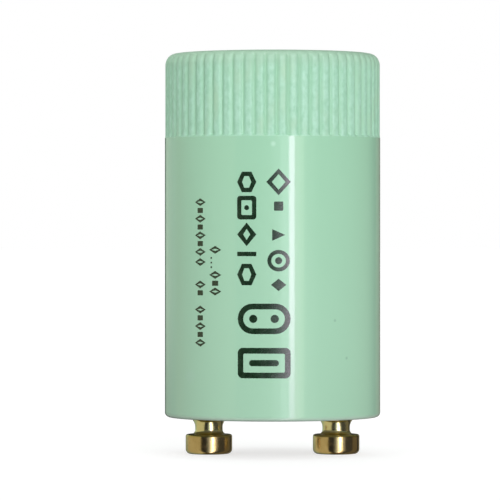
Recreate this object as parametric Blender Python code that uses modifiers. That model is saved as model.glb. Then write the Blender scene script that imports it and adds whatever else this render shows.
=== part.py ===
"""Fluorescent starter: a ribbed plastic can on a base with two brass pins, holding a glow switch and
a capacitor. Run it with blender --background --python part.py, or from Blender's text editor.

Metres, +Z up. The origin lies midway between the pins, in the plane of their ends. The pins stand
in a row along X, and the front of the can faces -Y.
"""
import math

import bmesh
import bpy
from mathutils import Vector

# Can
CAN_RADIUS = 0.01075
CAN_HEIGHT = 0.0362
CAN_WALL = 0.0011
CAN_ROOF = 0.0012
SHOULDER_FILLET = 0.00115
RIM_FILLET = 0.00045
MOUTH_CHAMFER = 0.00012
CEILING_FILLET = 0.0005
LEDGE_WIDTH = 0.0003
PIN_REACH = 0.0037  # from the can's rim down to the ends of the pins

# Grip band round the top of the can
RIB_COUNT = 60
RIB_DEPTH = 0.00024
RIB_INSET = 0.00004
RIB_SHARPNESS = 3.0  # 2 gives round ribs, more gives flat ribs with narrow grooves
RIB_PHASE_DEG = 4.9
BAND_HEIGHT = 0.00842

# Moulding gate in the middle of the top
GATE_DISH_RADIUS = 0.0013
GATE_DISH_DEPTH = 0.0002
GATE_NUB_RADIUS = 0.00045
GATE_NUB_HEIGHT = 0.00012

# Base plate, with the snap bead and the keys that lock it to the can
BASE_RECESS = 0.0003
BASE_THICKNESS = 0.0016
BASE_CHAMFER = 0.00012
BOSS_RADIUS = 0.0026
BOSS_HEIGHT = 0.0008
BEAD_HEIGHT = 0.0005
BEAD_REACH = 0.00014
KEY_COUNT = 4
KEY_WIDTH = 0.0016
KEY_REACH = 0.0005
KEY_ROOT = 0.0004
KEY_LIFT = 0.0003
KEY_PHASE_DEG = 45.0
SEAT_CLEARANCE = 0.0001

# Contact pins
PIN_EDGE = 0.0033  # from a pin's axis out to the can's inside, which puts the pins 12.7 mm apart
HEAD_RADIUS = 0.002325
HEAD_HEIGHT = 0.00185
HEAD_FILLET = 0.00038
HEAD_EDGE = 0.00006
NECK_RADIUS = 0.00137
WAIST_ARC = 0.00078
COLLAR_RADIUS = 0.00179
COLLAR_SEAT_DEPTH = 0.0003
SHANK_RADIUS = 0.0013
RIVET_RADIUS = 0.0020
RIVET_THICKNESS = 0.00045
BORE_RADIUS = 0.0008
BORE_DEPTH = 0.0042
BORE_CHAMFER = 0.00015

# Wires
LEAD_RADIUS = 0.00025
LEAD_GAP = 0.00016
LEAD_BEND = 0.0006
LEAD_STOP = 0.0002
LEAD_CLEARANCE = 0.0001

# Glow switch
BULB_RADIUS = 0.0042
BULB_LENGTH = 0.0146
GLASS_WALL = 0.0006
GLASS_FLOOR = 0.0009
GLASS_FILLET = 0.0018
TIP_RADIUS = 0.0006
TIP_HEIGHT = 0.0012
FOOT_WIDTH = 0.0046
FOOT_THICKNESS = 0.0018
FOOT_LENGTH = 0.0026
FOOT_BEVEL = 0.0004
FOOT_HEIGHT = 0.0030  # foot above the rivets, which leaves room for the leads
ELECTRODE_SPACING = 0.0024
ELECTRODE_RADIUS = 0.00045
ELECTRODE_LENGTH = 0.0082
POST_RADIUS = 0.0004
POST_LENGTH = 0.0032
WELD_GAP = 0.0001
STRIP_WIDTH = 0.0020
STRIP_THICKNESS = 0.0002
STRIP_START = 0.0006
STRIP_HEIGHT = 0.0098
STRIP_FREE_LENGTH = 0.0050
CONTACT_GAP = 0.00045

# Capacitor
CAPACITOR_RADIUS = 0.0032
CAPACITOR_LENGTH = 0.0150
CAPACITOR_HEIGHT = 0.0040  # lower end above the rivets
WRAP_THICKNESS = 0.0002
FILL_DEPTH = 0.0012
FILL_DOME = 0.00025
PAIR_GAP = 0.0006  # between the bulb and the capacitor
RETURN_LOOP = 0.0020  # top of the long lead above the capacitor
RETURN_OFFSET = 0.0030  # long lead behind the middle plane
SLEEVE_THICKNESS = 0.00025
SLEEVE_LENGTH = 0.0140
CROSSING_HEIGHT = 0.0013  # lead across the base, above the rivets

# Steps round each turned form
CAN_STEPS = 60
BASE_STEPS = 44
PIN_STEPS = 28
BULB_STEPS = 20
CAPACITOR_STEPS = 20
ROD_STEPS = 12
RIB_SAMPLES = 6
FILLET_STEPS = 5
SMALL_FILLET_STEPS = 3
NECK_STEPS = 6
DOME_STEPS = 6
BEND_STEPS = 4
CROWN_STEPS = 8
SHARP_ANGLE = math.radians(32)
FLAT_ANGLE = math.radians(0.01)
WELD_DISTANCE = 0.000001
CUT_MARGIN = 0.0005

# Levels that follow from the sizes above
RIM_Z = PIN_REACH
CAN_TOP = RIM_Z + CAN_HEIGHT
CEILING_Z = CAN_TOP - CAN_ROOF
BAND_Z = CAN_TOP - BAND_HEIGHT
BASE_BOTTOM = RIM_Z + BASE_RECESS
BASE_TOP = BASE_BOTTOM + BASE_THICKNESS
BEAD_Z = BASE_BOTTOM + BASE_THICKNESS / 2
LEDGE_Z = BASE_TOP + SEAT_CLEARANCE
RIVET_BOTTOM = BASE_TOP + BOSS_HEIGHT + SEAT_CLEARANCE
RIVET_TOP = RIVET_BOTTOM + RIVET_THICKNESS
BORE_END = RIVET_TOP - BORE_DEPTH
LEAD_END = BORE_END + LEAD_STOP
CROSSING_Z = RIVET_TOP + CROSSING_HEIGHT
FOOT_Z = RIVET_TOP + FOOT_HEIGHT
BULB_Z = FOOT_Z + FOOT_LENGTH
CAVITY_Z = BULB_Z + GLASS_FLOOR
WELD_Z = CAVITY_Z + 2 * LEAD_RADIUS
ELECTRODE_Z = WELD_Z + WELD_GAP
CAPACITOR_Z = RIVET_TOP + CAPACITOR_HEIGHT
CAPACITOR_TOP = CAPACITOR_Z + CAPACITOR_LENGTH

# Radii and places that follow from the sizes above
INNER_RADIUS = CAN_RADIUS - CAN_WALL
MOUTH_RADIUS = INNER_RADIUS + LEDGE_WIDTH
BASE_RADIUS = MOUTH_RADIUS - SEAT_CLEARANCE
WINDING_RADIUS = CAPACITOR_RADIUS - WRAP_THICKNESS - SEAT_CLEARANCE
LEAD_HOLE_RADIUS = LEAD_RADIUS + LEAD_CLEARANCE
LEAD_OFFSET = LEAD_RADIUS + LEAD_GAP / 2
PIN_SPACING = 2 * (INNER_RADIUS - PIN_EDGE)
PIN_X = PIN_SPACING / 2
PAIR_WIDTH = 2 * BULB_RADIUS + PAIR_GAP + 2 * CAPACITOR_RADIUS
BULB_X = BULB_RADIUS - PAIR_WIDTH / 2
CAPACITOR_X = PAIR_WIDTH / 2 - CAPACITOR_RADIUS
RETURN_X = BULB_X + BULB_RADIUS + PAIR_GAP / 2
FIXED_X = BULB_X - ELECTRODE_SPACING / 2
POST_X = BULB_X + ELECTRODE_SPACING / 2


def clear_scene():
    """Remove what the scene holds, such as the start-up cube."""
    for obj in list(bpy.data.objects):
        bpy.data.objects.remove(obj, do_unlink=True)


def new_collection(name):
    """A collection in the scene."""
    collection = bpy.data.collections.new(name)
    bpy.context.scene.collection.children.link(collection)
    return collection


def linear(red, green, blue):
    """Scene-linear colour of an 8-bit display colour."""
    def channel(value):
        part = value / 255
        if part <= 0.04045:
            return part / 12.92
        return ((part + 0.055) / 1.055) ** 2.4
    return (channel(red), channel(green), channel(blue), 1.0)


def new_material(name, colour, roughness, metallic=0.0, transmission=0.0):
    """A plain Principled material."""
    material = bpy.data.materials.new(name)
    material.use_nodes = True
    shader = material.node_tree.nodes["Principled BSDF"]
    shader.inputs["Base Color"].default_value = linear(*colour)
    shader.inputs["Roughness"].default_value = roughness
    shader.inputs["Metallic"].default_value = metallic
    shader.inputs["Transmission Weight"].default_value = transmission
    material.diffuse_color = linear(*colour)
    return material


def arc(centre, radius, start_deg, end_deg, steps):
    """Points of an arc in a plane, both ends included."""
    points = []
    for index in range(steps + 1):
        angle = math.radians(start_deg + (end_deg - start_deg) * index / steps)
        points.append((centre[0] + radius * math.cos(angle), centre[1] + radius * math.sin(angle)))
    return points


def fillet(corner_radius, corner_z, size, start_deg, end_deg, steps):
    """Points that round an outer corner of a turned profile, from one angle to the other."""
    upper = start_deg > 0 or end_deg > 0
    centre_z = corner_z - size if upper else corner_z + size
    return arc((corner_radius - size, centre_z), size, start_deg, end_deg, steps)


def add_object(name, data, collection, location=(0.0, 0.0, 0.0)):
    """An object in a collection."""
    obj = bpy.data.objects.new(name, data)
    obj.location = location
    collection.objects.link(obj)
    return obj


def bake(obj):
    """Keep the mesh that an object's modifiers make, with its round faces shaded smooth."""
    bpy.context.view_layer.update()
    evaluated = obj.evaluated_get(bpy.context.evaluated_depsgraph_get())
    mesh = bpy.data.meshes.new_from_object(evaluated)
    obj.modifiers.clear()
    obj.data = mesh
    mesh.name = obj.name
    mesh.shade_smooth()
    mesh.set_sharp_from_angle(angle=SHARP_ANGLE)
    return obj


def lathe(name, profile, steps, collection, location=(0.0, 0.0, 0.0), ring=False):
    """Turn a profile of (radius, height) points round Z. It runs down its outer side. A ring's
    profile is a closed loop, and any other starts and ends on the axis.
    """
    mesh = bpy.data.meshes.new(name)
    count = len(profile)
    edges = [(index, index + 1) for index in range(count - 1)]
    if ring:
        edges.append((count - 1, 0))
    mesh.from_pydata([(radius, 0.0, height) for radius, height in profile], edges, [])
    obj = add_object(name, mesh, collection, location)
    screw = obj.modifiers.new("Turned", "SCREW")
    screw.axis = "Z"
    screw.angle = math.tau
    screw.steps = steps
    screw.render_steps = steps
    screw.use_merge_vertices = True
    screw.merge_threshold = WELD_DISTANCE
    return merge_flats(bake(obj))


def merge_flats(obj):
    """Join the triangles of each flat end into one face, which later cuts divide cleanly."""
    work = bmesh.new()
    work.from_mesh(obj.data)
    bmesh.ops.dissolve_limit(work, angle_limit=FLAT_ANGLE, verts=work.verts, edges=work.edges)
    work.to_mesh(obj.data)
    work.free()
    return obj


def rod(name, radius, bottom, top, steps, collection, location=(0.0, 0.0, 0.0)):
    """An upright round rod, with its ends at two heights."""
    mesh = bpy.data.meshes.new(name)
    work = bmesh.new()
    bmesh.ops.create_cone(
        work, cap_ends=True, segments=steps, radius1=radius, radius2=radius, depth=top - bottom,
    )
    bmesh.ops.translate(work, vec=(0.0, 0.0, (top + bottom) / 2), verts=work.verts)
    work.to_mesh(mesh)
    work.free()
    return bake(add_object(name, mesh, collection, location))


def tube(name, inner, outer, bottom, top, steps, collection, location=(0.0, 0.0, 0.0)):
    """An upright tube, open at both ends."""
    profile = [(outer, top), (outer, bottom), (inner, bottom), (inner, top)]
    return lathe(name, profile, steps, collection, location, ring=True)


def box(name, size, collection, location, turn=0.0, bevel=0.0):
    """A block with its centre at a place, turned about Z, with rounded edges if a bevel is given."""
    mesh = bpy.data.meshes.new(name)
    work = bmesh.new()
    bmesh.ops.create_cube(work, size=1.0)
    bmesh.ops.scale(work, vec=size, verts=work.verts)
    work.to_mesh(mesh)
    work.free()
    obj = add_object(name, mesh, collection, location)
    obj.rotation_euler.z = turn
    if bevel > 0.0:
        rounding = obj.modifiers.new("Rounded", "BEVEL")
        rounding.width = bevel
        rounding.segments = 2
    return bake(obj)


def prism(name, outlines, bottom, top, collection):
    """A solid with an upright wall along each outline, the first outside and the others holes."""
    curve = bpy.data.curves.new(name, "CURVE")
    curve.dimensions = "2D"
    curve.fill_mode = "BOTH"
    curve.extrude = (top - bottom) / 2
    for outline in outlines:
        spline = curve.splines.new("POLY")
        spline.points.add(len(outline) - 1)
        for point, (x, y) in zip(spline.points, outline):
            point.co = (x, y, 0.0, 1.0)
        spline.use_cyclic_u = True
    drawn = add_object(name + "_outline", curve, collection)
    return curve_to_mesh(name, drawn, collection, (0.0, 0.0, (top + bottom) / 2))


def curve_to_mesh(name, drawn, collection, location=(0.0, 0.0, 0.0)):
    """A mesh object in place of a curve object, with the curve's caps welded on."""
    bpy.context.view_layer.update()
    evaluated = drawn.evaluated_get(bpy.context.evaluated_depsgraph_get())
    mesh = bpy.data.meshes.new_from_object(evaluated)
    obj = add_object(name, mesh, collection)
    obj.matrix_world = drawn.matrix_world
    obj.location = obj.location + Vector(location)
    bpy.data.objects.remove(drawn, do_unlink=True)
    work = bmesh.new()
    work.from_mesh(mesh)
    bmesh.ops.remove_doubles(work, verts=work.verts, dist=WELD_DISTANCE)
    bmesh.ops.recalc_face_normals(work, faces=work.faces)
    work.to_mesh(mesh)
    work.free()
    return obj


def boolean(obj, other, operation):
    """Cut an object by another, or join the other to it, and keep the other as a guide."""
    modifier = obj.modifiers.new(other.name, "BOOLEAN")
    modifier.operation = operation
    modifier.solver = "EXACT"
    modifier.object = other
    other.hide_render = True
    other.display_type = "WIRE"


def wire(name, corners, radius, bend, collection):
    """A round wire through straight runs, bent to an arc at each corner."""
    route = bent_route([Vector(corner) for corner in corners], bend)
    curve = bpy.data.curves.new(name, "CURVE")
    curve.dimensions = "3D"
    curve.bevel_depth = radius
    curve.bevel_resolution = 2
    curve.use_fill_caps = True
    spline = curve.splines.new("POLY")
    spline.points.add(len(route) - 1)
    for point, place in zip(spline.points, route):
        point.co = (*place, 1.0)
    return add_object(name, curve, collection)


def bent_route(corners, bend):
    """The corners' route with each inner corner rounded by an arc."""
    route = [corners[0]]
    for before, corner, after in zip(corners, corners[1:], corners[2:]):
        arrive = (corner - before).normalized()
        leave = (after - corner).normalized()
        turn = arrive.angle(leave)
        reach = bend * math.tan(turn / 2)
        centre = corner + (leave - arrive).normalized() * bend / math.cos(turn / 2)
        start = corner - arrive * reach - centre
        finish = corner + leave * reach - centre
        for index in range(BEND_STEPS + 1):
            place = start.normalized().slerp(finish.normalized(), index / BEND_STEPS)
            route.append(centre + place * bend)
    route.append(corners[-1])
    return route


def ribbed_outline():
    """Outline of the grip band: each rib is a dome that drops to a narrow groove."""
    crest = CAN_RADIUS - RIB_INSET
    pitch = math.tau / RIB_COUNT
    phase = math.radians(RIB_PHASE_DEG)
    points = []
    for rib in range(RIB_COUNT):
        for sample in range(RIB_SAMPLES):
            across = 2 * sample / RIB_SAMPLES - 1
            radius = crest - RIB_DEPTH * abs(across) ** RIB_SHARPNESS
            angle = phase + pitch * (rib + across / 2)
            points.append((radius * math.cos(angle), radius * math.sin(angle)))
    return points


def can_profile():
    """Half section of the can, from the middle of the top, down outside and back up inside."""
    gate = [
        (0.0, CAN_TOP - GATE_DISH_DEPTH + GATE_NUB_HEIGHT),
        (GATE_NUB_RADIUS, CAN_TOP - GATE_DISH_DEPTH + GATE_NUB_HEIGHT),
        (GATE_NUB_RADIUS, CAN_TOP - GATE_DISH_DEPTH),
        (GATE_DISH_RADIUS, CAN_TOP - GATE_DISH_DEPTH),
        (GATE_DISH_RADIUS + GATE_DISH_DEPTH, CAN_TOP),
    ]
    shoulder = fillet(CAN_RADIUS, CAN_TOP, SHOULDER_FILLET, 90, 0, FILLET_STEPS)
    rim = fillet(CAN_RADIUS, RIM_Z, RIM_FILLET, 0, -90, SMALL_FILLET_STEPS)
    mouth = [(MOUTH_RADIUS + MOUTH_CHAMFER, RIM_Z), (MOUTH_RADIUS, RIM_Z + MOUTH_CHAMFER)]
    ledge = [(MOUTH_RADIUS, LEDGE_Z), (INNER_RADIUS, LEDGE_Z)]
    corner = fillet(INNER_RADIUS, CEILING_Z, CEILING_FILLET, 0, 90, SMALL_FILLET_STEPS)
    bead = snap_bead(MOUTH_RADIUS, BEAD_HEIGHT)
    return gate + shoulder + rim + mouth + bead + ledge + corner + [(0.0, CEILING_Z)]


def snap_bead(wall_radius, height):
    """Low ridge that stands in from a wall, from its lower edge to its upper edge."""
    return [
        (wall_radius, BEAD_Z - height / 2),
        (wall_radius - BEAD_REACH, BEAD_Z - height / 6),
        (wall_radius - BEAD_REACH, BEAD_Z + height / 6),
        (wall_radius, BEAD_Z + height / 2),
    ]


def key_block(name, index, clearance, collection):
    """Block that stands in from the can's mouth. The base plate's notch is wider by a clearance."""
    angle = math.radians(KEY_PHASE_DEG) + math.tau * index / KEY_COUNT
    inner = MOUTH_RADIUS - KEY_REACH - clearance
    outer = MOUTH_RADIUS + KEY_ROOT
    bottom = BASE_BOTTOM + KEY_LIFT - clearance
    top = LEDGE_Z + KEY_ROOT
    middle = (inner + outer) / 2
    place = (middle * math.cos(angle), middle * math.sin(angle), (bottom + top) / 2)
    size = (outer - inner, KEY_WIDTH + 2 * clearance, top - bottom)
    return box(name, size, collection, place, turn=angle)


def make_canister(parts, cutters):
    """Moulded can with a closed top, a ribbed grip band and a mouth that takes the base plate."""
    can = lathe("canister", can_profile(), CAN_STEPS, parts)
    outside = arc((0.0, 0.0), CAN_RADIUS + CUT_MARGIN, 0, 360, CAN_STEPS)[:-1]
    flutes = prism("flute_cutter", [outside, ribbed_outline()], BAND_Z, CAN_TOP + CUT_MARGIN, cutters)
    boolean(can, flutes, "DIFFERENCE")
    for index in range(KEY_COUNT):
        boolean(can, key_block(f"key_{index}", index, 0.0, cutters), "UNION")
    return bake(can)


def make_base_plate(parts, cutters):
    """Moulded disc that snaps into the can's mouth and carries the two pins."""
    groove = snap_bead(BASE_RADIUS, BEAD_HEIGHT + 2 * SEAT_CLEARANCE)[::-1]
    profile = [(0.0, BASE_TOP), (BASE_RADIUS - BASE_CHAMFER, BASE_TOP)]
    profile += [(BASE_RADIUS, BASE_TOP - BASE_CHAMFER)] + groove
    profile += [(BASE_RADIUS, BASE_BOTTOM + BASE_CHAMFER), (BASE_RADIUS - BASE_CHAMFER, BASE_BOTTOM)]
    profile += [(0.0, BASE_BOTTOM)]
    plate = lathe("base_plate", profile, BASE_STEPS, parts)
    for side, x in (("left", -PIN_X), ("right", PIN_X)):
        place = (x, 0.0, 0.0)
        boss_top = BASE_TOP + BOSS_HEIGHT
        middle = (BASE_BOTTOM + BASE_TOP) / 2
        boss = rod(f"boss_{side}", BOSS_RADIUS, middle, boss_top, PIN_STEPS, cutters, place)
        hole = rod(
            f"shank_hole_{side}", SHANK_RADIUS + SEAT_CLEARANCE, BASE_BOTTOM - CUT_MARGIN,
            boss_top + CUT_MARGIN, PIN_STEPS, cutters, place,
        )
        seat = rod(
            f"collar_seat_{side}", COLLAR_RADIUS + SEAT_CLEARANCE, BASE_BOTTOM - CUT_MARGIN,
            BASE_BOTTOM + COLLAR_SEAT_DEPTH, PIN_STEPS, cutters, place,
        )
        boolean(plate, boss, "UNION")
        boolean(plate, hole, "DIFFERENCE")
        boolean(plate, seat, "DIFFERENCE")
    for index in range(KEY_COUNT):
        boolean(plate, key_block(f"key_notch_{index}", index, SEAT_CLEARANCE, cutters), "DIFFERENCE")
    return bake(plate)


def pin_profile():
    """Half section of a pin: blind bore, riveted lip, shank, collar, waisted neck and round head."""
    lip_radius = RIVET_THICKNESS / 2
    collar_top = BASE_BOTTOM + COLLAR_SEAT_DEPTH - SEAT_CLEARANCE
    waist = (NECK_RADIUS + WAIST_ARC, HEAD_HEIGHT + WAIST_ARC)
    flare = math.degrees(math.acos((waist[0] - COLLAR_RADIUS) / WAIST_ARC))
    bore = [
        (0.0, BORE_END),
        (BORE_RADIUS, BORE_END),
        (BORE_RADIUS, RIVET_TOP - BORE_CHAMFER),
        (BORE_RADIUS + BORE_CHAMFER, RIVET_TOP),
    ]
    lip_centre = (RIVET_RADIUS - lip_radius, RIVET_BOTTOM + lip_radius)
    lip = arc(lip_centre, lip_radius, 90, -90, SMALL_FILLET_STEPS)
    shank = [(SHANK_RADIUS, RIVET_BOTTOM), (SHANK_RADIUS, collar_top), (COLLAR_RADIUS, collar_top)]
    neck = arc(waist, WAIST_ARC, 180 - flare, 270, NECK_STEPS)
    edge = [(HEAD_RADIUS - HEAD_EDGE, HEAD_HEIGHT), (HEAD_RADIUS, HEAD_HEIGHT - HEAD_EDGE)]
    foot = fillet(HEAD_RADIUS, 0.0, HEAD_FILLET, 0, -90, SMALL_FILLET_STEPS)
    return bore + lip + shank + neck + edge + foot + [(0.0, 0.0)]


def make_contact_pins(parts):
    """Two turned brass pins, riveted in the base plate."""
    profile = pin_profile()
    left = lathe("contact_pin_left", profile, PIN_STEPS, parts, (-PIN_X, 0.0, 0.0))
    right = lathe("contact_pin_right", profile, PIN_STEPS, parts, (PIN_X, 0.0, 0.0))
    return [left, right]


def glass_profile():
    """Half section of the bulb's outside: seal-off tip, dome, straight wall and rounded bottom."""
    top = BULB_Z + BULB_LENGTH
    tip = [(0.0, top + TIP_HEIGHT), (TIP_RADIUS / 2, top + TIP_HEIGHT * 0.8), (TIP_RADIUS, top)]
    start = math.degrees(math.acos(TIP_RADIUS / BULB_RADIUS))
    dome = arc((0.0, top - BULB_RADIUS), BULB_RADIUS, start, 0, DOME_STEPS)
    bottom = fillet(BULB_RADIUS, BULB_Z, GLASS_FILLET, 0, -90, SMALL_FILLET_STEPS)
    return tip + dome + bottom + [(0.0, BULB_Z)]


def cavity_profile():
    """Half section of the space in the bulb."""
    radius = BULB_RADIUS - GLASS_WALL
    top = BULB_Z + BULB_LENGTH - GLASS_WALL
    dome = arc((0.0, top - radius), radius, 90, 0, DOME_STEPS)
    bottom = fillet(radius, CAVITY_Z, GLASS_FILLET - GLASS_WALL, 0, -90, SMALL_FILLET_STEPS)
    return [(0.0, top)] + dome[1:] + bottom + [(0.0, CAVITY_Z)]


def make_bulb_envelope(parts, cutters):
    """Glass bulb on a pressed foot. The lead holes run through the foot into the cavity."""
    place = (BULB_X, 0.0, 0.0)
    glass = lathe("bulb_envelope", glass_profile(), BULB_STEPS, parts, place)
    foot_top = BULB_Z + GLASS_FLOOR / 2
    foot = box(
        "foot", (FOOT_WIDTH, FOOT_THICKNESS, foot_top - FOOT_Z), cutters,
        (BULB_X, 0.0, (FOOT_Z + foot_top) / 2), bevel=FOOT_BEVEL,
    )
    boolean(glass, foot, "UNION")
    cavity = lathe("bulb_cavity", cavity_profile(), BULB_STEPS, cutters, place)
    boolean(glass, cavity, "DIFFERENCE")
    for side, x in (("left", FIXED_X), ("right", POST_X)):
        hole = rod(
            f"lead_hole_{side}", LEAD_HOLE_RADIUS, FOOT_Z - CUT_MARGIN, CAVITY_Z + CUT_MARGIN / 2,
            ROD_STEPS, cutters, (x, 0.0, 0.0),
        )
        boolean(glass, hole, "DIFFERENCE")
    return bake(glass)


def make_electrodes(parts):
    """Fixed electrode, and the post and bent bimetal strip that closes on it."""
    fixed = rod(
        "fixed_electrode", ELECTRODE_RADIUS, ELECTRODE_Z, ELECTRODE_Z + ELECTRODE_LENGTH,
        ROD_STEPS, parts, (FIXED_X, 0.0, 0.0),
    )
    post = rod(
        "bimetal_post", POST_RADIUS, ELECTRODE_Z, ELECTRODE_Z + POST_LENGTH,
        ROD_STEPS, parts, (POST_X, 0.0, 0.0),
    )
    return [fixed, post, make_bimetal_strip(parts)]


def make_bimetal_strip(parts):
    """Hairpin strip: one leg lies on the post, and the other hangs beside the fixed electrode."""
    carried_x = POST_X + POST_RADIUS + WELD_GAP + STRIP_THICKNESS / 2
    free_x = FIXED_X + ELECTRODE_RADIUS + CONTACT_GAP + STRIP_THICKNESS / 2
    bend = (carried_x - free_x) / 2
    low = ELECTRODE_Z + STRIP_START
    high = ELECTRODE_Z + STRIP_HEIGHT
    crown = arc(((carried_x + free_x) / 2, high - bend), bend, 0, 180, CROWN_STEPS)
    route = [(carried_x, low)] + crown + [(free_x, high - STRIP_FREE_LENGTH)]
    curve = bpy.data.curves.new("bimetal_strip", "CURVE")
    curve.dimensions = "2D"
    curve.fill_mode = "NONE"
    curve.extrude = STRIP_WIDTH / 2
    spline = curve.splines.new("POLY")
    spline.points.add(len(route) - 1)
    for point, (x, z) in zip(spline.points, route):
        point.co = (x, z, 0.0, 1.0)
    drawn = add_object("bimetal_route", curve, parts)
    drawn.rotation_euler.x = math.radians(90)
    strip = curve_to_mesh("bimetal_strip", drawn, parts)
    thickness = strip.modifiers.new("Thickness", "SOLIDIFY")
    thickness.thickness = STRIP_THICKNESS
    thickness.offset = 0.0
    return bake(strip)


def make_bulb_leads(parts):
    """Wires from the pins up through the bulb's foot."""
    below_foot = FOOT_Z - LEAD_BEND
    left = wire("bulb_lead_left", [
        (-PIN_X, -LEAD_OFFSET, LEAD_END),
        (-PIN_X, -LEAD_OFFSET, RIVET_TOP + LEAD_BEND),
        (FIXED_X, 0.0, below_foot),
        (FIXED_X, 0.0, WELD_Z),
    ], LEAD_RADIUS, LEAD_BEND, parts)
    right = wire("bulb_lead_right", [
        (PIN_X, -LEAD_OFFSET, LEAD_END),
        (PIN_X, -LEAD_OFFSET, CROSSING_Z),
        (POST_X, 0.0, CROSSING_Z),
        (POST_X, 0.0, WELD_Z),
    ], LEAD_RADIUS, LEAD_BEND, parts)
    return [left, right]


def make_capacitor(parts):
    """Wound capacitor: a roll in a wrap, closed at each end by resin round the lead."""
    place = (CAPACITOR_X, 0.0, 0.0)
    roll_bottom = CAPACITOR_Z + FILL_DEPTH + SEAT_CLEARANCE
    roll_top = CAPACITOR_TOP - FILL_DEPTH - SEAT_CLEARANCE
    winding = rod(
        "capacitor_winding", WINDING_RADIUS, roll_bottom, roll_top, CAPACITOR_STEPS, parts, place,
    )
    wrap = tube(
        "capacitor_wrap", CAPACITOR_RADIUS - WRAP_THICKNESS, CAPACITOR_RADIUS, CAPACITOR_Z,
        CAPACITOR_TOP, CAPACITOR_STEPS, parts, place,
    )
    hole = LEAD_HOLE_RADIUS
    upper = lathe("capacitor_end_fill_upper", [
        (WINDING_RADIUS, CAPACITOR_TOP - FILL_DOME),
        (WINDING_RADIUS, CAPACITOR_TOP - FILL_DEPTH),
        (hole, CAPACITOR_TOP - FILL_DEPTH),
        (hole, CAPACITOR_TOP),
    ], CAPACITOR_STEPS, parts, place, ring=True)
    lower = lathe("capacitor_end_fill_lower", [
        (WINDING_RADIUS, CAPACITOR_Z + FILL_DEPTH),
        (WINDING_RADIUS, CAPACITOR_Z + FILL_DOME),
        (hole, CAPACITOR_Z),
        (hole, CAPACITOR_Z + FILL_DEPTH),
    ], CAPACITOR_STEPS, parts, place, ring=True)
    return [winding, wrap, upper, lower] + make_capacitor_leads(parts, roll_bottom, roll_top)


def make_capacitor_leads(parts, roll_bottom, roll_top):
    """Short lead down to the right pin, and long sleeved lead back down to the left pin."""
    loop_z = CAPACITOR_TOP + RETURN_LOOP
    turn_z = CROSSING_Z + LEAD_RADIUS
    lower = wire("capacitor_lead_lower", [
        (PIN_X, LEAD_OFFSET, LEAD_END),
        (PIN_X, LEAD_OFFSET, CROSSING_Z + LEAD_BEND),
        (CAPACITOR_X, 0.0, CAPACITOR_Z - LEAD_BEND),
        (CAPACITOR_X, 0.0, roll_bottom - WELD_GAP),
    ], LEAD_RADIUS, LEAD_BEND, parts)
    upper = wire("capacitor_lead_upper", [
        (-PIN_X, LEAD_OFFSET, LEAD_END),
        (-PIN_X, LEAD_OFFSET, turn_z),
        (RETURN_X, RETURN_OFFSET, turn_z),
        (RETURN_X, RETURN_OFFSET, loop_z),
        (CAPACITOR_X, 0.0, loop_z),
        (CAPACITOR_X, 0.0, roll_top + WELD_GAP),
    ], LEAD_RADIUS, LEAD_BEND, parts)
    sleeve_top = loop_z - 2 * LEAD_BEND
    sleeve = tube(
        "lead_sleeve", LEAD_HOLE_RADIUS, LEAD_HOLE_RADIUS + SLEEVE_THICKNESS,
        sleeve_top - SLEEVE_LENGTH, sleeve_top, ROD_STEPS, parts, (RETURN_X, RETURN_OFFSET, 0.0),
    )
    return [lower, upper, sleeve]


def make_materials():
    """One material for each kind of surface, as (colour, roughness, metallic, transmission)."""
    finishes = {
        "can_plastic": ((170, 216, 187), 0.28, 0.0, 0.0),
        "base_plastic": ((224, 222, 210), 0.45, 0.0, 0.0),
        "brass": ((196, 170, 104), 0.22, 1.0, 0.0),
        "bulb_glass": ((236, 242, 240), 0.05, 0.0, 0.9),
        "electrode_metal": ((176, 174, 168), 0.35, 1.0, 0.0),
        "bimetal": ((160, 152, 140), 0.30, 1.0, 0.0),
        "lead_wire": ((200, 198, 192), 0.30, 1.0, 0.0),
        "capacitor_film": ((214, 182, 96), 0.35, 0.0, 0.0),
        "wound_foil": ((190, 190, 188), 0.40, 1.0, 0.0),
        "end_resin": ((92, 58, 34), 0.40, 0.0, 0.0),
        "sleeve_plastic": ((226, 226, 220), 0.50, 0.0, 0.0),
    }
    return {name: new_material(name, *values) for name, values in finishes.items()}


def main():
    """Build the starter, give each piece its material and hang all of them on one empty."""
    clear_scene()
    parts = new_collection("fluorescent_starter")
    cutters = new_collection("cutters")
    canister = make_canister(parts, cutters)
    base_plate = make_base_plate(parts, cutters)
    pins = make_contact_pins(parts)
    envelope = make_bulb_envelope(parts, cutters)
    fixed, post, strip = make_electrodes(parts)
    winding, wrap, upper, lower, *capacitor_leads, sleeve = make_capacitor(parts)
    finishes = make_materials()
    finishes_of = {
        "can_plastic": [canister],
        "base_plastic": [base_plate],
        "brass": pins,
        "bulb_glass": [envelope],
        "electrode_metal": [fixed, post],
        "bimetal": [strip],
        "lead_wire": make_bulb_leads(parts) + capacitor_leads,
        "capacitor_film": [wrap],
        "wound_foil": [winding],
        "end_resin": [upper, lower],
        "sleeve_plastic": [sleeve],
    }
    origin = add_object("starter_origin", None, parts)
    for name, pieces in finishes_of.items():
        for piece in pieces:
            piece.data.materials.clear()
            piece.data.materials.append(finishes[name])
            piece.parent = origin


main()
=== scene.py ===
"""Looks of a fluorescent starter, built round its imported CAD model, which is the fixed frame.

The frame is in metres, +Z up, with the pins in a row along X and the front of the can at -Y. Sizes
below are in millimetres, as on the real object, and angles are in degrees. An azimuth is measured
round the can from the front, and grows towards +X. Colours are linear red, green and blue.
"""
import math

import bmesh
import bpy
from mathutils import Matrix, Vector


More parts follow.
